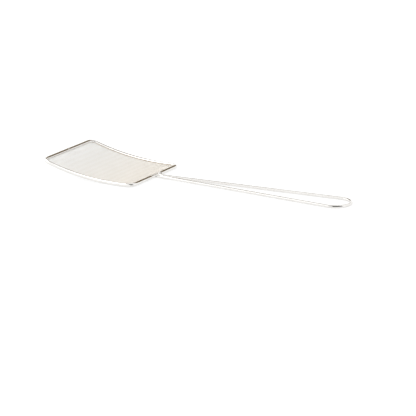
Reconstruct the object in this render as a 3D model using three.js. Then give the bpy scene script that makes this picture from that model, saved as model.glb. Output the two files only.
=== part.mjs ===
// Fine mesh skimmer: a curved head of wire cloth in a rolled rim, on a hairpin wire handle.
// Millimetres, Z up. X runs from the tip of the head to the end of the handle, Y goes across the head.
import * as THREE from 'three';

// Head, between wire centres
const HEAD_WIDTH = 107.5;
const HEAD_LENGTH = 121;
const TIP_RISE = 15.6;
const HEAD_SAG = 5.9;
const CORNER_RADIUS = 9;

// Wire and its hairpin handle
const WIRE_RADIUS = 1.7;
const HANDLE_REACH = 253;
const LOOP_RADIUS = 18.7;
const THROAT_RADIUS = 9;
const LEG_GAP = 0.4;
const FRAME_JOINT = 24;
const JOINT_GAP = 0.3;

// Rolled rim strip
const RIM_PLAY = 0.2;
const STRIP_THICKNESS = 0.35;
const LIP_REACH = 2.5;
const BARE_WIRE = 0.6;

// Wire cloth: a net with a solid hem
const CLOTH_THICKNESS = 0.6;
const CLOTH_PLAY = 0.3;
const HEM_WIDTH = 4;
const STRAND_WIDTH = 1.4;
const GAPS_LONG = 18;
const GAPS_WIDE = 16;

// Weld beads
const BEAD_GAP = 0.2;
const SEAM_BEAD = { width: 3.2, height: 0.45, sweep: Math.PI * 0.6 };
const THROAT_BEAD = { lead: 1.5, length: 6, depth: 1.5, width: 1.9, waist: 0.4, hollow: 0.78 };

// Facets
const WIRE_SIDES = 12;
const RIM_SIDES = 16;
const TURN_STEPS = 7;
const CORNER_STEPS = 3;
const SIDE_STEPS = 10;
const LOOP_STEPS = 24;

// Sizes that follow from those above
const RIM_INSIDE = WIRE_RADIUS + RIM_PLAY;
const RIM_RADIUS = RIM_INSIDE + STRIP_THICKNESS;
const SLOT_HALF = CLOTH_THICKNESS / 2 + CLOTH_PLAY;
const CLOTH_EDGE = WIRE_RADIUS + CLOTH_PLAY;
const CLOTH_CORNER = CORNER_RADIUS - CLOTH_EDGE;

// The head's side view is one circular arc over the chord from the rear wire to the tip wire
const CHORD = Math.hypot(HEAD_LENGTH, TIP_RISE);
const BEND_RADIUS = (CHORD * CHORD / 4 + HEAD_SAG * HEAD_SAG) / (2 * HEAD_SAG);
const HALF_ARC = Math.asin(CHORD / 2 / BEND_RADIUS);
const HEAD_ARC = 2 * HALF_ARC * BEND_RADIUS;
const REAR_TILT = Math.atan2(TIP_RISE, HEAD_LENGTH) - HALF_ARC;

// The handle falls just enough for its end to touch the table that the rim lies on
const HEAD_LOWEST = BEND_RADIUS * (Math.cos(REAR_TILT) - 1) - RIM_RADIUS;
const HANDLE_FALL = Math.asin((-HEAD_LOWEST - WIRE_RADIUS) / HANDLE_REACH);

// Each leg is the inner tangent of its throat bend and the end loop; the strips stop short of the bends
const THROAT_Y = THROAT_RADIUS + WIRE_RADIUS + LEG_GAP / 2;
const RIM_END = THROAT_Y + BARE_WIRE;
const BEND_APART = Math.hypot(HANDLE_REACH - LOOP_RADIUS - THROAT_RADIUS, THROAT_Y);
const LEG_SPLAY = Math.asin((THROAT_RADIUS + LOOP_RADIUS) / BEND_APART) - Math.asin(THROAT_Y / BEND_APART);
const LEG_LENGTH = Math.sqrt(BEND_APART ** 2 - (THROAT_RADIUS + LOOP_RADIUS) ** 2);

// A place s is measured along the head from its rear edge; the handle lies at s below zero
function isHead(s) {
  return s > -0.001;
}

// Directions at a place s
function levelAt(s) {
  const tilt = isHead(s) ? REAR_TILT + s / BEND_RADIUS : HANDLE_FALL;
  return {
    along: new THREE.Vector3(-Math.cos(tilt), 0, Math.sin(tilt)),
    up: new THREE.Vector3(Math.sin(tilt), 0, Math.cos(tilt)),
    tilt,
  };
}

// The point at s along and y across, raised off the head's middle surface
function pointAt(s, y, raised = 0) {
  const { along, up, tilt } = levelAt(s);
  const point = new THREE.Vector3(0, y, 0);
  if (isHead(s)) {
    point.x = BEND_RADIUS * (Math.sin(REAR_TILT) - Math.sin(tilt));
    point.z = BEND_RADIUS * (Math.cos(REAR_TILT) - Math.cos(tilt));
  } else {
    point.addScaledVector(along, s);
  }
  return point.addScaledVector(up, raised);
}

// A path on the flattened head and handle; heading 0 goes to the handle's end, a quarter turn to +Y
class Path {
  constructor(s, y, heading) {
    this.at = new THREE.Vector2(s, y);
    this.heading = heading;
    this.stations = [];
    this.mark();
  }

  direction(turned = 0) {
    const heading = this.heading + turned;
    return new THREE.Vector2(-Math.cos(heading), Math.sin(heading));
  }

  mark() {
    const { along, up } = levelAt(this.at.x);
    const way = this.direction();
    const travel = new THREE.Vector3(0, way.y, 0).addScaledVector(along, way.x);
    const side = new THREE.Vector3().crossVectors(up, travel);
    this.stations.push({ centre: pointAt(this.at.x, this.at.y), side, up });
  }

  ahead(length, steps = 1) {
    for (let i = 0; i < steps; i += 1) {
      this.at.addScaledVector(this.direction(), length / steps);
      this.mark();
    }
    return this;
  }

  turn(radius, angle, steps = TURN_STEPS) {
    const quarter = Math.sign(angle) * Math.PI / 2;
    for (let i = 0; i < steps; i += 1) {
      this.at.addScaledVector(this.direction(quarter), radius);
      this.heading += angle / steps;
      this.at.addScaledVector(this.direction(quarter), -radius);
      this.mark();
    }
    return this;
  }
}

// A solid with one section all along a path
function sweep(section, path) {
  const last = path.stations.length - 1;
  const solid = new THREE.ExtrudeGeometry(section, { depth: last, steps: last, bevelEnabled: false });
  const vertices = solid.getAttribute('position');
  for (let i = 0; i < vertices.count; i += 1) {
    const { centre, side, up } = path.stations[Math.round(vertices.getZ(i))];
    const point = centre.clone();
    point.addScaledVector(side, vertices.getX(i));
    point.addScaledVector(up, vertices.getY(i));
    vertices.setXYZ(i, point.x, point.y, point.z);
  }
  return solid;
}

// Corners of a round section with flats at its top and bottom, from one angle to another
function roundCorners(radius, sides, from, to) {
  const step = 2 * Math.PI / sides;
  const reach = radius / Math.cos(step / 2);
  const count = Math.round((to - from) / step);
  const corners = [];
  for (let i = 0; i <= count; i += 1) {
    const angle = from + i * step;
    corners.push(new THREE.Vector2(reach * Math.cos(angle), reach * Math.sin(angle)));
  }
  return corners;
}

function wireSection() {
  const half = Math.PI / WIRE_SIDES;
  return new THREE.Shape(roundCorners(WIRE_RADIUS, WIRE_SIDES, half, 2 * Math.PI - half));
}

// The strip's open side faces the cloth, at -x; two flat lips reach in along the cloth
function rimSection() {
  const half = Math.PI / RIM_SIDES;
  const most = Math.PI - 3 * half;
  const lip = SLOT_HALF + STRIP_THICKNESS;
  const outside = roundCorners(RIM_RADIUS, RIM_SIDES, -most, most);
  const inside = roundCorners(RIM_INSIDE, RIM_SIDES, -most, most).reverse();
  const upper = [[-Math.sqrt(RIM_RADIUS ** 2 - lip ** 2), lip], [-LIP_REACH, lip], [-LIP_REACH, SLOT_HALF]];
  upper.push([-Math.sqrt(RIM_INSIDE ** 2 - SLOT_HALF ** 2), SLOT_HALF]);
  const lower = upper.map(([x, y]) => [x, -y]).reverse();
  const points = (list) => list.map(([x, y]) => new THREE.Vector2(x, y));
  return new THREE.Shape([...outside, ...points(upper), ...inside, ...points(lower)]);
}

const QUARTER = Math.PI / 2;
const HALF_WIDTH = HEAD_WIDTH / 2;
const SIDE_RUN = HEAD_ARC - 2 * CORNER_RADIUS;
const REAR_RUN = HALF_WIDTH - CORNER_RADIUS;

// From the near half of the rear edge, round the tip, to the far half of the rear edge
function frameWire() {
  const start = FRAME_JOINT + JOINT_GAP / 2;
  const path = new Path(0, -start, -QUARTER);
  path.ahead(REAR_RUN - start).turn(CORNER_RADIUS, -QUARTER);
  path.ahead(SIDE_RUN, SIDE_STEPS).turn(CORNER_RADIUS, -QUARTER);
  path.ahead(2 * REAR_RUN).turn(CORNER_RADIUS, -QUARTER);
  path.ahead(SIDE_RUN, SIDE_STEPS).turn(CORNER_RADIUS, -QUARTER);
  path.ahead(REAR_RUN - start);
  return sweep(wireSection(), path);
}

// From the far foot in the rear edge, along the far leg, round the end and back along the near leg
function handleWire() {
  const foot = FRAME_JOINT - JOINT_GAP / 2;
  const throat = QUARTER + LEG_SPLAY;
  const path = new Path(0, foot, -QUARTER);
  path.ahead(foot - THROAT_Y).turn(THROAT_RADIUS, throat).ahead(LEG_LENGTH);
  path.turn(LOOP_RADIUS, -2 * throat, LOOP_STEPS);
  path.ahead(LEG_LENGTH).turn(THROAT_RADIUS, throat).ahead(foot - THROAT_Y);
  return sweep(wireSection(), path);
}

// From the middle of the tip round the far side to the rear edge
function rimStripFar() {
  const path = new Path(HEAD_ARC, JOINT_GAP / 2, QUARTER);
  path.ahead(REAR_RUN - JOINT_GAP / 2).turn(CORNER_RADIUS, -QUARTER).ahead(SIDE_RUN, SIDE_STEPS);
  path.turn(CORNER_RADIUS, -QUARTER).ahead(REAR_RUN - RIM_END);
  return sweep(rimSection(), path);
}

// From the rear edge round the near side to the middle of the tip
function rimStripNear() {
  const path = new Path(0, -RIM_END, -QUARTER);
  path.ahead(REAR_RUN - RIM_END).turn(CORNER_RADIUS, -QUARTER).ahead(SIDE_RUN, SIDE_STEPS);
  path.turn(CORNER_RADIUS, -QUARTER).ahead(REAR_RUN - JOINT_GAP / 2);
  return sweep(rimSection(), path);
}

// Lines of a net between two edges: the hem's two lines at each end, and both sides of every strand between
function netLines(low, high, gaps) {
  const open = high - low - 2 * HEM_WIDTH;
  const gap = (open - (gaps - 1) * STRAND_WIDTH) / gaps;
  const lines = [low];
  for (let i = 0; i < gaps; i += 1) {
    const start = low + HEM_WIDTH + i * (gap + STRAND_WIDTH);
    lines.push(start, start + gap);
  }
  lines.push(high);
  return lines;
}

// A place on the flat cloth, pulled in to the arc where the cloth's rounded corners leave it out
function insideCorner([s, y]) {
  const straightLong = HEAD_ARC / 2 - CORNER_RADIUS;
  const straightWide = HALF_WIDTH - CORNER_RADIUS;
  const long = Math.abs(s - HEAD_ARC / 2) - straightLong;
  const wide = Math.abs(y) - straightWide;
  if (Math.min(long, wide) <= 0 || Math.hypot(long, wide) <= CLOTH_CORNER) {
    return [s, y];
  }
  const pull = CLOTH_CORNER / Math.hypot(long, wide);
  const inS = HEAD_ARC / 2 + Math.sign(s - HEAD_ARC / 2) * (straightLong + long * pull);
  return [inS, Math.sign(y) * (straightWide + wide * pull)];
}

// A tile at the net's own corner as a fan, with steps along its two outer edges
function cornerTile(tile, outermost) {
  const [before, middle, after] = [3, 2, 1].map((step) => tile[(outermost + step) % 4]);
  const fan = [middle];
  for (const [from, to] of [[before, tile[outermost]], [tile[outermost], after]]) {
    for (let k = 0; k < CORNER_STEPS; k += 1) {
      fan.push([0, 1].map((axis) => from[axis] + (to[axis] - from[axis]) * k / CORNER_STEPS));
    }
  }
  return [...fan, after];
}

// One tile between two rows and two columns of the net
function netTile(rows, columns, i, j) {
  const corners = [[i, j], [i + 1, j], [i + 1, j + 1], [i, j + 1]];
  const tile = corners.map(([row, column]) => [rows[row], columns[column]]);
  const isEnd = (value, lines) => value === lines[0] || value === lines.at(-1);
  const outermost = tile.findIndex(([s, y]) => isEnd(s, rows) && isEnd(y, columns));
  return (outermost < 0 ? tile : cornerTile(tile, outermost)).map(insideCorner);
}

// Gaps are the tiles with an odd row and an odd column
function netTiles() {
  const rows = netLines(CLOTH_EDGE, HEAD_ARC - CLOTH_EDGE, GAPS_LONG);
  const columns = netLines(CLOTH_EDGE - HALF_WIDTH, HALF_WIDTH - CLOTH_EDGE, GAPS_WIDE);
  const tiles = [];
  for (let i = 0; i < rows.length - 1; i += 1) {
    for (let j = 0; j < columns.length - 1; j += 1) {
      if (i % 2 === 0 || j % 2 === 0) {
        tiles.push(netTile(rows, columns, i, j));
      }
    }
  }
  return tiles;
}

// Tiles with a top, a bottom and a wall along every edge that only one tile has
function meshPanel() {
  const half = CLOTH_THICKNESS / 2;
  const faces = [];
  const edges = new Map();
  const name = ([s, y]) => `${s.toFixed(3)} ${y.toFixed(3)}`;
  for (const tile of netTiles()) {
    tile.forEach((corner, k) => {
      const next = tile[(k + 1) % tile.length];
      if (!edges.delete(`${name(next)} ${name(corner)}`)) {
        edges.set(`${name(corner)} ${name(next)}`, [corner, next]);
      }
      if (k > 0 && k < tile.length - 1) {
        faces.push([...tile[0], -half], [...corner, -half], [...next, -half]);
        faces.push([...tile[0], half], [...next, half], [...corner, half]);
      }
    });
  }
  for (const [a, b] of edges.values()) {
    faces.push([...a, -half], [...a, half], [...b, half]);
    faces.push([...a, -half], [...b, half], [...b, -half]);
  }
  return new THREE.BufferGeometry().setFromPoints(faces.map(([s, y, raised]) => pointAt(s, y, raised)));
}

// A saddle of weld over the top of the rim, across the seam of the two strips
function seamWeld() {
  const { width, height, sweep: angle } = SEAM_BEAD;
  const low = RIM_RADIUS / Math.cos(Math.PI / RIM_SIDES) + BEAD_GAP;
  const shape = new THREE.Shape();
  shape.absarc(0, 0, low + height, QUARTER - angle / 2, QUARTER + angle / 2, false);
  shape.absarc(0, 0, low, QUARTER + angle / 2, QUARTER - angle / 2, true);
  const bead = new THREE.ExtrudeGeometry(shape, { depth: width, bevelEnabled: false, curveSegments: 8 });
  const { tilt } = levelAt(HEAD_ARC);
  bead.translate(0, 0, -width / 2).rotateX(QUARTER).rotateY(tilt);
  return bead.translate(...pointAt(HEAD_ARC, 0));
}

// A bead in the crease under the two legs, from just before their bends end
function throatWeld() {
  const { lead, length, depth, width, waist, hollow } = THROAT_BEAD;
  const half = width / 2;
  const bottom = -WIRE_RADIUS;
  const top = bottom + depth - BEAD_GAP;
  const shape = new THREE.Shape();
  shape.moveTo(0, top);
  shape.quadraticCurveTo(-half * waist, bottom * hollow, -half, bottom);
  shape.lineTo(half, bottom);
  shape.quadraticCurveTo(half * waist, bottom * hollow, 0, top);
  return sweep(new THREE.Shape(shape.getPoints(4)), new Path(lead - THROAT_RADIUS, 0, 0).ahead(length));
}

function polishedSteel() {
  return new THREE.MeshStandardMaterial({ color: 0xf4f2ee, metalness: 1, roughness: 0.1 });
}

function rolledSteel() {
  return new THREE.MeshStandardMaterial({ color: 0xf4f3ef, metalness: 1, roughness: 0.12 });
}

function wovenSteel() {
  return new THREE.MeshStandardMaterial({ color: 0xf3efe7, metalness: 1, roughness: 0.45 });
}

function weldSteel() {
  return new THREE.MeshStandardMaterial({ color: 0xc4beb3, metalness: 1, roughness: 0.4 });
}

function piece(name, geometry, material) {
  const mesh = new THREE.Mesh(geometry, material);
  mesh.name = name;
  return mesh;
}

// Moves everything so that the origin is under the middle of the whole skimmer, on the table
function standOnTable(group) {
  const box = new THREE.Box3().setFromObject(group);
  const middle = box.getCenter(new THREE.Vector3());
  group.children.forEach((mesh) => mesh.geometry.translate(-middle.x, -middle.y, -box.min.z));
  return group;
}

const skimmer = new THREE.Group();
skimmer.name = 'fine_mesh_skimmer';
skimmer.add(piece('frame_wire', frameWire(), polishedSteel()));
skimmer.add(piece('handle_wire', handleWire(), polishedSteel()));
skimmer.add(piece('rim_strip_near', rimStripNear(), rolledSteel()));
skimmer.add(piece('rim_strip_far', rimStripFar(), rolledSteel()));
skimmer.add(piece('mesh_panel', meshPanel(), wovenSteel()));
skimmer.add(piece('seam_weld', seamWeld(), weldSteel()));
skimmer.add(piece('throat_weld', throatWeld(), weldSteel()));

export default standOnTable(skimmer);
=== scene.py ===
"""Looks of a fine mesh skimmer: woven wire cloth in a rolled rim, on a hairpin wire handle.

Metres, Z up. X runs from the tip of the head to the end of the handle, Y goes across the head.
"""
import math

import bpy
import numpy as np
from mathutils import Matrix, Vector, noise


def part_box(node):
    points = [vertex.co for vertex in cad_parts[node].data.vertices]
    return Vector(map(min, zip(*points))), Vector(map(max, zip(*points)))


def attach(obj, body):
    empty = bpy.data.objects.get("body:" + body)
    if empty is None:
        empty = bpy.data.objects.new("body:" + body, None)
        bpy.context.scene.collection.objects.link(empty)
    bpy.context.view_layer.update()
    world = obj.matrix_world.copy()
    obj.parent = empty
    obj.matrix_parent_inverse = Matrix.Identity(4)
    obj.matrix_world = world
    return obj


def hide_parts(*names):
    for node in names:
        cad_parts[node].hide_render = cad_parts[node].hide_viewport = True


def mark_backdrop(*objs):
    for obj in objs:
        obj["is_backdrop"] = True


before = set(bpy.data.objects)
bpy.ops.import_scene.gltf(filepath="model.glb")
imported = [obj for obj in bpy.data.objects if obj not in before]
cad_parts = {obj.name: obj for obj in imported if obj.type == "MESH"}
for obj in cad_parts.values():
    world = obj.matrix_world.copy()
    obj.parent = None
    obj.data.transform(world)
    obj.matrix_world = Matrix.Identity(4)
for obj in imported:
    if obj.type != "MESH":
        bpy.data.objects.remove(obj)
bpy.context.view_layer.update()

# Head, between wire centres
HEAD_WIDTH = 0.1075
HEAD_LENGTH = 0.121
TIP_RISE = 0.0156
HEAD_SAG = 0.0059
CORNER_RADIUS = 0.009

# Wire and its hairpin handle
WIRE_RADIUS = 0.0017
HANDLE_REACH = 0.253
LOOP_RADIUS = 0.0187
THROAT_RADIUS = 0.009
LEG_GAP = 0.0004
FRAME_JOINT = 0.024
JOINT_GAP = 0.0003

# Rolled rim strip
RIM_PLAY = 0.0002
STRIP_THICKNESS = 0.00035
PINCH_HALF = 0.0006
BARE_WIRE = 0.0006

# Woven wire cloth: its wires stray by a share of the pitch and rise and fall by a share of their thickness
CLOTH_EDGE = 0.002
CLOTH_PITCH = 0.00125
CLOTH_WIRE = 0.00035
CLOTH_JITTER = 0.02
CLOTH_SEED = 11
CRIMP_SHARE = 0.515

# Folded hem over the cloth's edge at the throat
HEM_EDGE = 0.0012
HEM_TUCK = 0.0015
HEM_WIDTH = 0.0034
HEM_INSIDE = 0.00037
HEM_THICKNESS = 0.00014

# Weld bead over the rim at the tip: its sizes, how deep its root is, the share of its width left
# at its ends, and its waves and ripples as shares of its height
TIP_BEAD = {"half_width": 0.0016, "height": 0.00045, "half_sweep": math.radians(54)}
TIP_BEAD_ROOT = 0.00005
TIP_BEAD_END = 0.35
TIP_WAVE = {"share": 0.18, "per_radian": 14}
TIP_RIPPLE = {"share": 0.2, "per_radian": 3, "per_metre": 900, "slice": 0.5}

# Weld bead under the throat: its sizes, how far it lies below the wire's centre, the share of it left
# at its ends, the share by which its top is flatter, and its waves as a share of its thickness
THROAT_BEAD = {"lead": 0.0015, "length": 0.006, "depth": 0.0013, "half_width": 0.00095}
THROAT_BEAD_DROP = 0.62 * WIRE_RADIUS
THROAT_BEAD_END = 0.02
THROAT_BEAD_FLAT = 0.35
THROAT_WAVE = {"share": 0.1, "per_length": 30}

# Steps along the paths and round the sections
FOOT_STEPS, LEG_STEPS, LOOP_STEPS = 4, 24, 72
REAR_STEPS, SIDE_STEPS, TIP_STEPS = 6, 40, 8
STRIP_OUTSIDE_STEPS, STRIP_INSIDE_STEPS, STRIP_EDGE_STEPS = 26, 20, 6
HEM_STEPS, FOLD_STEPS = 12, 8

# Smooth shading breaks at edges sharper than these, in degrees
SECTION_SHARP, CLOTH_SHARP, BEAD_SHARP = 35, 60, 80

# Noise: the middle of its values, its scale in each finish, and how far streaks are drawn out and how deep
NOISE_LOW, NOISE_HIGH = 0.3, 0.7
CLOUD_SCALE = 90.0
MESH_GRAIN = 1200.0
WELD_GRAIN = 1500.0
STREAK_STRETCH = (60, 6000, 1)
STREAK_DEPTH = 0.00001

# Cloth colour at the tip and at the rear edge, painted light that is palest at the tip and warmer towards
# the rear, and the faint bands across it
MESH_PAINTED_LIGHT = (1.0, 1.0, 0.985), (0.975, 0.93, 0.86)
MESH_BANDS = (0.97, 0.966, 0.955), (1.0, 1.0, 1.0)
BAND_PITCH = 0.008
BAND_DRIFT = 0.3
# Radians of a wave texture to each metre at scale 1
WAVE_RADIANS = 20

# Frame wire shut in the rim, coloured with painted shade for the crease where the rim meets the cloth:
# bright across the tip, brown from where the sides begin
FRAME_CREASE_SHADE = (0.93, 0.90, 0.86), (0.58, 0.47, 0.33)
FRAME_CLOUDS = (0.9, 0.88, 0.85), (1.0, 1.0, 1.0)
FRAME_SHADE_FADE = 0.012

# Camera, fitted to the photograph: the scale is in pixels a metre at the rear edge of the head
PHOTO_SIZE = 416
REAR_EDGE_PIXEL = (155.4, 175.3)
VIEW_SCALE = 854.0
VIEW_DISTANCE = 3.0
VIEW_AZIMUTH = math.radians(29.25)
VIEW_ELEVATION = math.radians(15.57)
SENSOR_MM = 36

# Studio: what the floor gives off and scatters, and the lamp's place, size and power in watts
FLOOR_HALF = 6.0
FLOOR_GLOW = {"Is Camera Ray": 0.76, "Is Glossy Ray": 0.59}
FLOOR_ALBEDO = 0.33
SOFTBOX = (-1.6, -0.5, 1.5), (2.0, 2.0), 14

# Cards that only the metal sees: colour and two opposite corners
CARD_BROWN = (0.14, 0.095, 0.04)
CARD_BLACK = (0.01, 0.008, 0.005)
CARDS = {
    "back_card": (CARD_BROWN, (-0.29, 0.33, 0.128), (0.10, 0.33, 0.53)),
    "back_card_left": (CARD_BROWN, (-0.47, 0.33, 0.28), (-0.29, 0.33, 0.90)),
    "front_card": (CARD_BLACK, (0.04, -0.35, 0.27), (2.0, -0.35, 1.6)),
    "front_card_low": (CARD_BLACK, (0.25, -0.35, 0.0), (3.0, -0.35, 0.27)),
    "white_card": ((1.0, 1.0, 1.0), (-0.11, -0.075, 0.10), (0.16, 0.02, 0.10)),
}

# Places at s along the head and handle are on the head from here, a hair before its rear edge
HEAD_FROM = -1e-6

# Sizes that follow from those above
QUARTER = math.pi / 2
HALF_WIDTH = HEAD_WIDTH / 2
RIM_INSIDE = WIRE_RADIUS + RIM_PLAY
RIM_RADIUS = RIM_INSIDE + STRIP_THICKNESS
CLOTH_CORNER = CORNER_RADIUS - CLOTH_EDGE

# The head's side view is one circular arc over the chord from the rear wire to the tip wire
CHORD = math.hypot(HEAD_LENGTH, TIP_RISE)
BEND_RADIUS = (CHORD * CHORD / 4 + HEAD_SAG * HEAD_SAG) / (2 * HEAD_SAG)
HALF_ARC = math.asin(CHORD / 2 / BEND_RADIUS)
HEAD_ARC = 2 * HALF_ARC * BEND_RADIUS
REAR_TILT = math.atan2(TIP_RISE, HEAD_LENGTH) - HALF_ARC

# The handle falls until its end lies on the table
HEAD_LOWEST = BEND_RADIUS * (math.cos(REAR_TILT) - 1) - RIM_RADIUS
HANDLE_FALL = math.asin((-HEAD_LOWEST - WIRE_RADIUS) / HANDLE_REACH)
REAR_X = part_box("handle_wire")[1].x - (HANDLE_REACH + WIRE_RADIUS) * math.cos(HANDLE_FALL)
REAR_Z = HANDLE_REACH * math.sin(HANDLE_FALL) + WIRE_RADIUS * math.cos(HANDLE_FALL)
TIP_X = REAR_X - HEAD_LENGTH

# Each leg is the inner tangent of its throat bend and the end loop
THROAT_Y = THROAT_RADIUS + WIRE_RADIUS + LEG_GAP / 2
BEND_APART = math.hypot(HANDLE_REACH - LOOP_RADIUS - THROAT_RADIUS, THROAT_Y)
BENDS = THROAT_RADIUS + LOOP_RADIUS
LEG_SPLAY = math.asin(BENDS / BEND_APART) - math.asin(THROAT_Y / BEND_APART)
LEG_LENGTH = math.sqrt(BEND_APART ** 2 - BENDS ** 2)

# The straight runs of each rim strip, which meets the other at the tip and stops short of the throat bend
RIM_END = THROAT_Y + BARE_WIRE
REAR_RUN = HALF_WIDTH - CORNER_RADIUS - RIM_END
SIDE_RUN = HEAD_ARC - 2 * CORNER_RADIUS
TIP_RUN = HALF_WIDTH - CORNER_RADIUS - JOINT_GAP / 2


# Places on the head and handle

def tilt_at(s):
    """Slope at s along the head from its rear edge; the handle lies at s below zero."""
    return np.where(s > HEAD_FROM, REAR_TILT + s / BEND_RADIUS, HANDLE_FALL)


def up_at(s):
    tilt = tilt_at(s)
    return np.stack([np.sin(tilt), 0 * tilt, np.cos(tilt)], axis=-1)


def along_at(s):
    tilt = tilt_at(s)
    return np.stack([-np.cos(tilt), 0 * tilt, np.sin(tilt)], axis=-1)


def point_at(s, y, raised=0.0):
    """The point at s along and y across, raised off the middle surface."""
    s, y, raised = np.broadcast_arrays(*(np.asarray(value, float) for value in (s, y, raised)))
    tilt = tilt_at(s)
    on_head = s > HEAD_FROM
    along = along_at(s) * s[..., None]
    x = np.where(on_head, BEND_RADIUS * (math.sin(REAR_TILT) - np.sin(tilt)), along[..., 0])
    z = np.where(on_head, BEND_RADIUS * (math.cos(REAR_TILT) - np.cos(tilt)), along[..., 2])
    return np.stack([x + REAR_X, y, z + REAR_Z], axis=-1) + up_at(s) * raised[..., None]


class Path:
    """A line on the flattened head and handle; heading 0 goes to the handle's end, a quarter turn to +Y."""

    def __init__(self, s, y, heading):
        self.at = np.array([s, y], float)
        self.heading = heading
        self.places = [self.at.copy()]
        self.headings = [heading]

    def way(self, turned=0.0):
        return np.array([-math.cos(self.heading + turned), math.sin(self.heading + turned)])

    def mark(self):
        self.places.append(self.at.copy())
        self.headings.append(self.heading)

    def ahead(self, length, steps=1):
        for _ in range(steps):
            self.at += self.way() * length / steps
            self.mark()
        return self

    def turn(self, radius, angle, steps=24):
        quarter = math.copysign(QUARTER, angle)
        for _ in range(steps):
            self.at += self.way(quarter) * radius
            self.heading += angle / steps
            self.at -= self.way(quarter) * radius
            self.mark()
        return self

    def stations(self):
        """Centres, sideways directions and up directions all along the line."""
        s, y = np.array(self.places).T
        headings = np.array(self.headings)
        travel = along_at(s) * -np.cos(headings)[:, None]
        travel[:, 1] += np.sin(headings)
        up = up_at(s)
        return point_at(s, y), np.cross(up, travel), up


# Meshes

def new_piece(name, vertices, faces, material, sharp_degrees=SECTION_SHARP):
    mesh = bpy.data.meshes.new(name)
    mesh.from_pydata(vertices, [], faces)
    mesh.shade_smooth()
    mesh.set_sharp_from_angle(angle=math.radians(sharp_degrees))
    mesh.materials.append(material)
    piece = bpy.data.objects.new(name, mesh)
    bpy.context.scene.collection.objects.link(piece)
    return piece


def tube_faces(rings, corners, first=0):
    """Quads between rings of corners, and a cap at each end."""
    faces = []
    for i in range(rings - 1):
        low = first + i * corners
        for k in range(corners):
            after = (k + 1) % corners
            faces.append((low + k, low + after, low + corners + after, low + corners + k))
    faces.append(tuple(range(first + corners - 1, first - 1, -1)))
    last = first + (rings - 1) * corners
    faces.append(tuple(range(last, last + corners)))
    return faces


def add_lengthwise_uv(piece, centres, section):
    """UV in metres: U along the piece and V round its section, so drawn streaks follow the metal."""
    rings, corners = len(centres), len(section)
    run = np.concatenate([[0], np.cumsum(np.linalg.norm(np.diff(centres, axis=0), axis=1))])
    edge = np.linalg.norm(np.diff(np.vstack([section, section[:1]]), axis=0), axis=1)
    girth = np.concatenate([[0], np.cumsum(edge)])
    layer = piece.data.uv_layers.new(name="lengthwise")
    for polygon in piece.data.polygons:
        indices = [piece.data.loops[loop].vertex_index for loop in polygon.loop_indices]
        wraps = polygon.index < (rings - 1) * corners and polygon.index % corners == corners - 1
        for loop, index in zip(polygon.loop_indices, indices):
            ring, corner = divmod(index, corners)
            around = girth[corners] if wraps and corner == 0 else girth[corner]
            layer.data[loop].uv = (run[ring], around)


def swept(name, section, path, material):
    """A solid with one section, given as x sideways and y up, all along a path."""
    section = np.array(section)
    centres, sides, ups = path.stations()
    rings = centres[:, None] + sides[:, None] * section[:, 0, None] + ups[:, None] * section[:, 1, None]
    piece = new_piece(name, rings.reshape(-1, 3).tolist(), tube_faces(len(centres), len(section)), material)
    add_lengthwise_uv(piece, centres, section)
    return piece


def round_section(radius, sides=28):
    turns = np.linspace(0, 2 * math.pi, sides, endpoint=False)
    return np.stack([radius * np.cos(turns), radius * np.sin(turns)], axis=1)


def arc(radius, start, end, steps, middle=(0.0, 0.0)):
    turns = np.linspace(start, end, steps + 1)
    return [(middle[0] + radius * math.cos(t), middle[1] + radius * math.sin(t)) for t in turns]


def mirrored(points):
    return [(x, -y) for x, y in reversed(points)]


def join_halves(outside, inside):
    """A closed outline from the upper half of its outside and of its inside, both from or to the x axis."""
    return outside + inside + mirrored(inside[:-1]) + mirrored(outside)[:-1]


# Handle and rim

def make_handle(material):
    foot = FRAME_JOINT - JOINT_GAP / 2
    throat = QUARTER + LEG_SPLAY
    path = Path(0, foot, -QUARTER)
    path.ahead(foot - THROAT_Y, FOOT_STEPS).turn(THROAT_RADIUS, throat).ahead(LEG_LENGTH, LEG_STEPS)
    path.turn(LOOP_RADIUS, -2 * throat, LOOP_STEPS)
    path.ahead(LEG_LENGTH, LEG_STEPS).turn(THROAT_RADIUS, throat).ahead(foot - THROAT_Y, FOOT_STEPS)
    return swept("handle_hairpin", round_section(WIRE_RADIUS), path, material)


def rim_section():
    """The strip is open towards the cloth, at -x, where its edges close in on it."""
    half_strip = STRIP_THICKNESS / 2
    middle = RIM_INSIDE + half_strip
    leaves = math.pi - math.asin((PINCH_HALF + half_strip) / middle)
    edge_middle = (middle * math.cos(leaves), middle * math.sin(leaves))
    edge = arc(half_strip, leaves, leaves + math.pi, STRIP_EDGE_STEPS, edge_middle)
    outer = arc(RIM_RADIUS, 0, leaves, STRIP_OUTSIDE_STEPS)
    inner = arc(RIM_INSIDE, leaves, 0, STRIP_INSIDE_STEPS)
    return join_halves(outer + edge[1:-1], inner)


def make_rim(name, path, material):
    return swept(name, rim_section(), path, material)


def near_rim_path():
    path = Path(0, -RIM_END, -QUARTER)
    path.ahead(REAR_RUN, REAR_STEPS).turn(CORNER_RADIUS, -QUARTER).ahead(SIDE_RUN, SIDE_STEPS)
    return path.turn(CORNER_RADIUS, -QUARTER).ahead(TIP_RUN, TIP_STEPS)


def far_rim_path():
    path = Path(HEAD_ARC, JOINT_GAP / 2, QUARTER)
    path.ahead(TIP_RUN, TIP_STEPS).turn(CORNER_RADIUS, -QUARTER).ahead(SIDE_RUN, SIDE_STEPS)
    return path.turn(CORNER_RADIUS, -QUARTER).ahead(REAR_RUN, REAR_STEPS)


# Wire cloth

def cloth_lines(low, high, random):
    """Places of the wires between two edges, a little uneven as in real cloth."""
    count = round((high - low) / CLOTH_PITCH)
    pitch = (high - low) / count
    return low + pitch * (np.arange(count) + 0.5 + CLOTH_JITTER * random.standard_normal(count))


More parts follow.
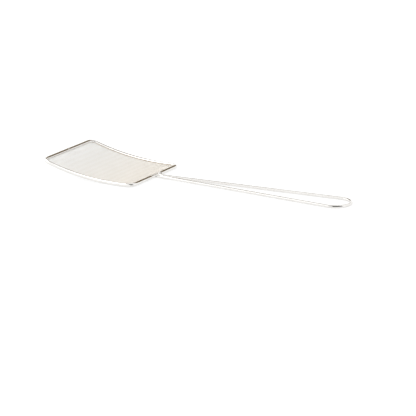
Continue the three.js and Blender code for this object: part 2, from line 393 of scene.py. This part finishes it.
def corner_cut(across, half):
    """How much shorter a wire is where the cloth's rounded corners cut it."""
    into = max(0.0, abs(across) - (half - CLOTH_CORNER))
    return CLOTH_CORNER - math.sqrt(max(0.0, CLOTH_CORNER ** 2 - into ** 2))


def crimped(start, end, crossings, over):
    """Places along one wire and its height at each: level over or under every wire that it crosses."""
    height = CRIMP_SHARE * CLOTH_WIRE
    half_level = CLOTH_PITCH / 4
    inside = [(place, side) for place, side in zip(crossings, over) if start < place < end]
    places, heights = [start], [inside[0][1] * height]
    for place, side in inside:
        for shift in (-half_level, half_level):
            if places[-1] < place + shift < end:
                places.append(place + shift)
                heights.append(side * height)
    places.append(end)
    heights.append(heights[-1])
    return np.array(places), np.array(heights)


def wire_rings(centres, ups, sides=6):
    """Rings of vertices round a thin bent wire."""
    travel = np.gradient(centres, axis=0)
    travel /= np.linalg.norm(travel, axis=1)[:, None]
    side = np.cross(ups, travel)
    side /= np.linalg.norm(side, axis=1)[:, None]
    top = np.cross(travel, side)
    section = round_section(CLOTH_WIRE / 2, sides)
    return centres[:, None] + side[:, None] * section[:, 0, None] + top[:, None] * section[:, 1, None]


def woven(name, wires, material):
    """One piece of many wires, each given by its centres and up directions."""
    vertices, faces = [], []
    for centres, ups in wires:
        rings = wire_rings(centres, ups)
        faces += tube_faces(rings.shape[0], rings.shape[1], len(vertices))
        vertices += rings.reshape(-1, 3).tolist()
    return new_piece(name, vertices, faces, material, CLOTH_SHARP)


def make_cloth(material):
    random = np.random.default_rng(CLOTH_SEED)
    middle = HEAD_ARC / 2
    half_long = middle - CLOTH_EDGE
    half_wide = HALF_WIDTH - CLOTH_EDGE
    rows = cloth_lines(middle - half_long, middle + half_long, random)
    columns = cloth_lines(-half_wide, half_wide, random)
    lengthwise, crosswise = [], []
    for i, y in enumerate(columns):
        cut = corner_cut(y, half_wide)
        over = [1 if (i + j) % 2 else -1 for j in range(len(rows))]
        s, raised = crimped(CLOTH_EDGE + cut, HEAD_ARC - CLOTH_EDGE - cut, rows, over)
        lengthwise.append((point_at(s, y, raised), up_at(s)))
    for j, s in enumerate(rows):
        cut = corner_cut(s - middle, half_long)
        over = [-1 if (i + j) % 2 else 1 for i in range(len(columns))]
        y, raised = crimped(cut - half_wide, half_wide - cut, columns, over)
        crosswise.append((point_at(s, y, raised), up_at(np.full_like(y, s))))
    return woven("cloth_warp", lengthwise, material), woven("cloth_weft", crosswise, material)


def make_hem(material):
    """A folded strip over the cloth's bare edge between the two legs."""
    outside = HEM_INSIDE + HEM_THICKNESS
    half_length = RIM_END + HEM_TUCK
    path = Path(HEM_EDGE, -half_length, QUARTER).ahead(2 * half_length, HEM_STEPS)
    fold = arc(outside, math.pi, QUARTER, FOLD_STEPS, (outside, 0))
    inner_fold = arc(HEM_INSIDE, QUARTER, math.pi, FOLD_STEPS, (outside, 0))
    upper_outside = fold + [(HEM_WIDTH, outside)]
    upper_inside = [(HEM_WIDTH, HEM_INSIDE)] + inner_fold
    section = join_halves(upper_outside, upper_inside)
    return swept("cloth_hem", section[::-1], path, material)


# Weld beads

def tip_ripple(turn, y):
    """The uneven waves of a hand tack, as a share of the bead's height."""
    wave = TIP_WAVE["share"] * math.cos(TIP_WAVE["per_radian"] * turn)
    place = Vector((turn * TIP_RIPPLE["per_radian"], y * TIP_RIPPLE["per_metre"], TIP_RIPPLE["slice"]))
    return wave + TIP_RIPPLE["share"] * noise.noise(place)


def make_tip_bead(material):
    """A saddle of weld over the top of the rim, narrower towards its ends."""
    half_width, height, half_sweep = TIP_BEAD["half_width"], TIP_BEAD["height"], TIP_BEAD["half_sweep"]
    across, around = 18, 22
    centre = point_at(HEAD_ARC, 0.0)
    up, along = up_at(HEAD_ARC), along_at(HEAD_ARC)
    vertices = []
    for i in range(around + 1):
        turn = half_sweep * (2 * i / around - 1)
        fade = math.sqrt(max(0.0, 1 - (turn / half_sweep) ** 2))
        for k in range(across):
            phase = 2 * math.pi * k / across
            y = -half_width * math.cos(phase) * (TIP_BEAD_END + (1 - TIP_BEAD_END) * fade)
            swell = max(0.0, math.sin(phase)) * height * fade * (1 + tip_ripple(turn, y))
            reach = RIM_RADIUS - TIP_BEAD_ROOT + swell
            spot = centre + up * reach * math.cos(turn) + along * reach * math.sin(turn)
            vertices.append((spot[0], spot[1] + y, spot[2]))
    return new_piece("tip_bead", vertices, tube_faces(around + 1, across), material, BEAD_SHARP)


def make_throat_bead(material):
    """A run of weld in the crease under the two legs."""
    start, length = THROAT_RADIUS - THROAT_BEAD["lead"], THROAT_BEAD["length"]
    depth, half_width = THROAT_BEAD["depth"], THROAT_BEAD["half_width"]
    steps, corners = 26, 16
    vertices = []
    for i in range(steps + 1):
        way = i / steps
        wave = 1 + THROAT_WAVE["share"] * math.cos(THROAT_WAVE["per_length"] * way)
        full = math.sqrt(max(0.0, 1 - (2 * way - 1) ** 4)) * wave + THROAT_BEAD_END
        for k in range(corners):
            phase = 2 * math.pi * k / corners
            y = half_width * math.cos(phase) * full
            swell = depth / 2 * math.sin(phase) * full * (1 - THROAT_BEAD_FLAT * math.sin(phase))
            raised = max(swell - THROAT_BEAD_DROP, -WIRE_RADIUS)
            vertices.append(tuple(point_at(-start - length * way, y, raised)))
    return new_piece("throat_bead", vertices, tube_faces(steps + 1, corners), material, BEAD_SHARP)


# Materials

def new_material(name):
    material = bpy.data.materials.new(name)
    material.use_nodes = True
    return material, material.node_tree.nodes, material.node_tree.links


def add_noise(nodes, links, coordinates, scale, detail=4.0, stretch=(1, 1, 1)):
    """Noise on coordinates that are stretched first."""
    mapping = nodes.new("ShaderNodeMapping")
    mapping.inputs["Scale"].default_value = stretch
    links.new(coordinates, mapping.inputs["Vector"])
    texture = nodes.new("ShaderNodeTexNoise")
    texture.inputs["Scale"].default_value = scale
    texture.inputs["Detail"].default_value = detail
    links.new(mapping.outputs["Vector"], texture.inputs["Vector"])
    return texture.outputs["Fac"]


def ramp_to(nodes, links, value, socket, dark, light, low=NOISE_LOW, high=NOISE_HIGH):
    """Sends a value through a two-colour ramp into a colour socket."""
    ramp = nodes.new("ShaderNodeValToRGB")
    ramp.color_ramp.elements[0].position = low
    ramp.color_ramp.elements[0].color = (*dark, 1)
    ramp.color_ramp.elements[1].position = high
    ramp.color_ramp.elements[1].color = (*light, 1)
    links.new(value, ramp.inputs["Fac"])
    links.new(ramp.outputs["Color"], socket)


def range_to(nodes, links, value, socket, low, high):
    """Sends a noise value into a number socket, spread from low to high."""
    spread = nodes.new("ShaderNodeMapRange")
    spread.inputs["From Min"].default_value = NOISE_LOW
    spread.inputs["From Max"].default_value = NOISE_HIGH
    spread.inputs["To Min"].default_value = low
    spread.inputs["To Max"].default_value = high
    links.new(value, spread.inputs["Value"])
    links.new(spread.outputs["Result"], socket)


def add_bump(nodes, links, value, shader, strength, distance):
    bump = nodes.new("ShaderNodeBump")
    bump.inputs["Strength"].default_value = strength
    bump.inputs["Distance"].default_value = distance
    links.new(value, bump.inputs["Height"])
    links.new(bump.outputs["Normal"], shader.inputs["Normal"])


def new_steel(name):
    material, nodes, links = new_material(name)
    shader = nodes["Principled BSDF"]
    shader.inputs["Metallic"].default_value = 1.0
    return material, nodes, links, shader


def drawn_steel(name, dark, light, rough, streaks):
    """Steel with faint streaks along its length and cloudier patches."""
    material, nodes, links, shader = new_steel(name)
    place = nodes.new("ShaderNodeTexCoord")
    streak = add_noise(nodes, links, place.outputs["UV"], scale=1.0, stretch=STREAK_STRETCH)
    cloud = add_noise(nodes, links, place.outputs["Object"], CLOUD_SCALE, detail=2.0)
    ramp_to(nodes, links, cloud, shader.inputs["Base Color"], dark, light)
    range_to(nodes, links, streak, shader.inputs["Roughness"], *rough)
    add_bump(nodes, links, streak, shader, strength=streaks, distance=STREAK_DEPTH)
    return material


def wire_steel():
    dark, light = (0.90, 0.88, 0.85), (0.95, 0.935, 0.91)
    return drawn_steel("wire_steel", dark, light, rough=(0.04, 0.10), streaks=0.1)


def rim_steel():
    dark, light = (0.90, 0.885, 0.855), (0.95, 0.94, 0.915)
    return drawn_steel("rim_steel", dark, light, rough=(0.04, 0.10), streaks=0.1)


def hem_steel():
    dark, light = (0.92, 0.895, 0.85), (0.97, 0.955, 0.92)
    return drawn_steel("hem_steel", dark, light, rough=(0.45, 0.6), streaks=0.2)


def from_tip(nodes, links, place, reach):
    """0 at the tip of the head, 1 at a reach from it towards the handle."""
    axes = nodes.new("ShaderNodeSeparateXYZ")
    links.new(place, axes.inputs["Vector"])
    share = nodes.new("ShaderNodeMapRange")
    share.inputs["From Min"].default_value = TIP_X
    share.inputs["From Max"].default_value = TIP_X + reach
    links.new(axes.outputs["X"], share.inputs["Value"])
    return share.outputs["Result"]


def multiplied(nodes, links, socket):
    """Two colour inputs whose product goes into a colour socket."""
    product = nodes.new("ShaderNodeMix")
    product.data_type, product.blend_type = "RGBA", "MULTIPLY"
    product.inputs["Factor"].default_value = 1.0
    links.new(product.outputs["Result"], socket)
    return product.inputs["A"], product.inputs["B"]


def frame_steel():
    """Wire that was never polished, cloudy and dull; its brown is painted shade for the crease where the
    rim meets the cloth, lighter across the tip.
    """
    material, nodes, links, shader = new_steel("frame_steel")
    place = nodes.new("ShaderNodeNewGeometry")
    cloud = add_noise(nodes, links, place.outputs["Position"], CLOUD_SCALE, detail=2.0)
    painted_tint, shade = multiplied(nodes, links, shader.inputs["Base Color"])
    run = from_tip(nodes, links, place.outputs["Position"], FRAME_SHADE_FADE)
    # painted shade: brown in the crease from where the sides begin, lighter across the tip
    ramp_to(nodes, links, run, painted_tint, *FRAME_CREASE_SHADE, low=0.0, high=1.0)
    ramp_to(nodes, links, cloud, shade, *FRAME_CLOUDS)
    range_to(nodes, links, cloud, shader.inputs["Roughness"], low=0.3, high=0.45)
    add_bump(nodes, links, cloud, shader, strength=0.3, distance=0.00001)
    return material


def mesh_steel():
    """Bright drawn wire with painted light, palest at the tip and warmer towards the handle, with faint
    bands across it.
    """
    material, nodes, links, shader = new_steel("mesh_steel")
    place = nodes.new("ShaderNodeTexCoord")
    grain = add_noise(nodes, links, place.outputs["Object"], MESH_GRAIN, detail=2.0)
    bands = nodes.new("ShaderNodeTexWave")
    bands.inputs["Scale"].default_value = 2 * math.pi / WAVE_RADIANS / BAND_PITCH
    bands.inputs["Distortion"].default_value = BAND_DRIFT
    links.new(place.outputs["Object"], bands.inputs["Vector"])
    painted_tint, band = multiplied(nodes, links, shader.inputs["Base Color"])
    run = from_tip(nodes, links, place.outputs["Object"], HEAD_LENGTH)
    # painted light: palest at the tip, warmer towards the rear edge
    ramp_to(nodes, links, run, painted_tint, *MESH_PAINTED_LIGHT, low=0.0, high=1.0)
    ramp_to(nodes, links, bands.outputs["Fac"], band, *MESH_BANDS, low=0.0, high=1.0)
    range_to(nodes, links, grain, shader.inputs["Roughness"], low=0.28, high=0.32)
    add_bump(nodes, links, grain, shader, strength=0.2, distance=0.00002)
    return material


def weld_steel():
    """Bright tack weld, straw-tinted and rougher in its hollows."""
    material, nodes, links, shader = new_steel("weld_steel")
    place = nodes.new("ShaderNodeTexCoord")
    grain = add_noise(nodes, links, place.outputs["Object"], WELD_GRAIN, detail=5.0)
    straw, bright = (0.62, 0.56, 0.47), (0.82, 0.80, 0.76)
    ramp_to(nodes, links, grain, shader.inputs["Base Color"], straw, bright)
    range_to(nodes, links, grain, shader.inputs["Roughness"], low=0.42, high=0.24)
    add_bump(nodes, links, grain, shader, strength=0.35, distance=0.00006)
    return material


# Studio

def white_floor():
    """A floor that the camera sees white and the metal a little darker, less the object's shadow."""
    material, nodes, links = new_material("white_floor")
    nodes.remove(nodes["Principled BSDF"])
    diffuse = nodes.new("ShaderNodeBsdfDiffuse")
    diffuse.inputs["Color"].default_value = (FLOOR_ALBEDO, FLOOR_ALBEDO, FLOOR_ALBEDO, 1)
    glow = nodes.new("ShaderNodeEmission")
    ray = nodes.new("ShaderNodeLightPath")
    brighter = nodes.new("ShaderNodeMath")
    brighter.operation = "MAXIMUM"
    for socket, (kind, strength) in zip(brighter.inputs, FLOOR_GLOW.items()):
        share = nodes.new("ShaderNodeMath")
        share.operation = "MULTIPLY"
        share.inputs[1].default_value = strength
        links.new(ray.outputs[kind], share.inputs[0])
        links.new(share.outputs["Value"], socket)
    links.new(brighter.outputs["Value"], glow.inputs["Strength"])
    both = nodes.new("ShaderNodeAddShader")
    links.new(diffuse.outputs["BSDF"], both.inputs[0])
    links.new(glow.outputs["Emission"], both.inputs[1])
    links.new(both.outputs["Shader"], nodes["Material Output"].inputs["Surface"])
    return material


def make_floor():
    corners = [(x * FLOOR_HALF, y * FLOOR_HALF, 0) for x, y in ((-1, -1), (1, -1), (1, 1), (-1, 1))]
    floor = new_piece("floor", corners, [(0, 1, 2, 3)], white_floor())
    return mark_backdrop(floor)


def card_paper(name, colour):
    """A plain colour for the metal; for every other ray the card is not there."""
    material, nodes, links = new_material(name)
    nodes.remove(nodes["Principled BSDF"])
    paper = nodes.new("ShaderNodeEmission")
    paper.inputs["Color"].default_value = (*colour, 1)
    clear = nodes.new("ShaderNodeBsdfTransparent")
    ray = nodes.new("ShaderNodeLightPath")
    either = nodes.new("ShaderNodeMixShader")
    links.new(ray.outputs["Is Glossy Ray"], either.inputs["Fac"])
    links.new(clear.outputs["BSDF"], either.inputs[1])
    links.new(paper.outputs["Emission"], either.inputs[2])
    links.new(either.outputs["Shader"], nodes["Material Output"].inputs["Surface"])
    return material


def make_card(name, colour, first, last):
    (left, front, low), (right, back, high) = first, last
    corners = [first, (right, front, low), last, (left, back, high)]
    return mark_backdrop(new_piece(name, corners, [(0, 1, 2, 3)], card_paper(name, colour)))


def make_world():
    """A plain white room."""
    world = bpy.data.worlds.new("studio")
    bpy.context.scene.world = world
    world.use_nodes = True
    room = world.node_tree.nodes["Background"]
    room.inputs["Color"].default_value = (1, 1, 1, 1)
    room.inputs["Strength"].default_value = 1.0


def make_lamp(name, place, size, watts):
    lamp = bpy.data.lights.new(name, "AREA")
    lamp.shape = "RECTANGLE"
    lamp.size, lamp.size_y = size
    lamp.energy = watts
    holder = bpy.data.objects.new(name, lamp)
    holder.location = place
    holder.rotation_euler = (-Vector(place)).to_track_quat("-Z", "Y").to_euler()
    bpy.context.scene.collection.objects.link(holder)


def make_camera():
    right = Vector((math.cos(VIEW_AZIMUTH), math.sin(VIEW_AZIMUTH), 0))
    level = Vector((-math.sin(VIEW_AZIMUTH), math.cos(VIEW_AZIMUTH), 0))
    forward = level * math.cos(VIEW_ELEVATION) - Vector((0, 0, math.sin(VIEW_ELEVATION)))
    up = right.cross(forward)
    aside = (REAR_EDGE_PIXEL[0] - PHOTO_SIZE / 2) / VIEW_SCALE
    above = (PHOTO_SIZE / 2 - REAR_EDGE_PIXEL[1]) / VIEW_SCALE
    lens = bpy.data.cameras.new("camera")
    lens.sensor_width = SENSOR_MM
    lens.lens = VIEW_SCALE * VIEW_DISTANCE * SENSOR_MM / PHOTO_SIZE
    camera = bpy.data.objects.new("camera", lens)
    turn = Matrix((right, up, -forward)).transposed().to_4x4()
    place = Vector(point_at(0.0, 0.0)) - right * aside - up * above - forward * VIEW_DISTANCE
    camera.matrix_world = Matrix.Translation(place) @ turn
    bpy.context.scene.collection.objects.link(camera)
    bpy.context.scene.camera = camera


def dress(piece, node):
    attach(piece, "root")
    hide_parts(node)


WIRE, RIM, MESH, WELD = wire_steel(), rim_steel(), mesh_steel(), weld_steel()
frame_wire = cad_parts["frame_wire"]
frame_wire.data.materials.clear()
frame_wire.data.materials.append(frame_steel())
dress(make_handle(WIRE), "handle_wire")
dress(make_rim("rim_near", near_rim_path(), RIM), "rim_strip_near")
dress(make_rim("rim_far", far_rim_path(), RIM), "rim_strip_far")
for cloth in (*make_cloth(MESH), make_hem(hem_steel())):
    dress(cloth, "mesh_panel")
dress(make_tip_bead(WELD), "seam_weld")
dress(make_throat_bead(WELD), "throat_weld")

bpy.context.scene.view_settings.view_transform = "Standard"
make_floor()
for name, card in CARDS.items():
    make_card(name, *card)
make_world()
make_lamp("softbox_left", *SOFTBOX)
make_camera()
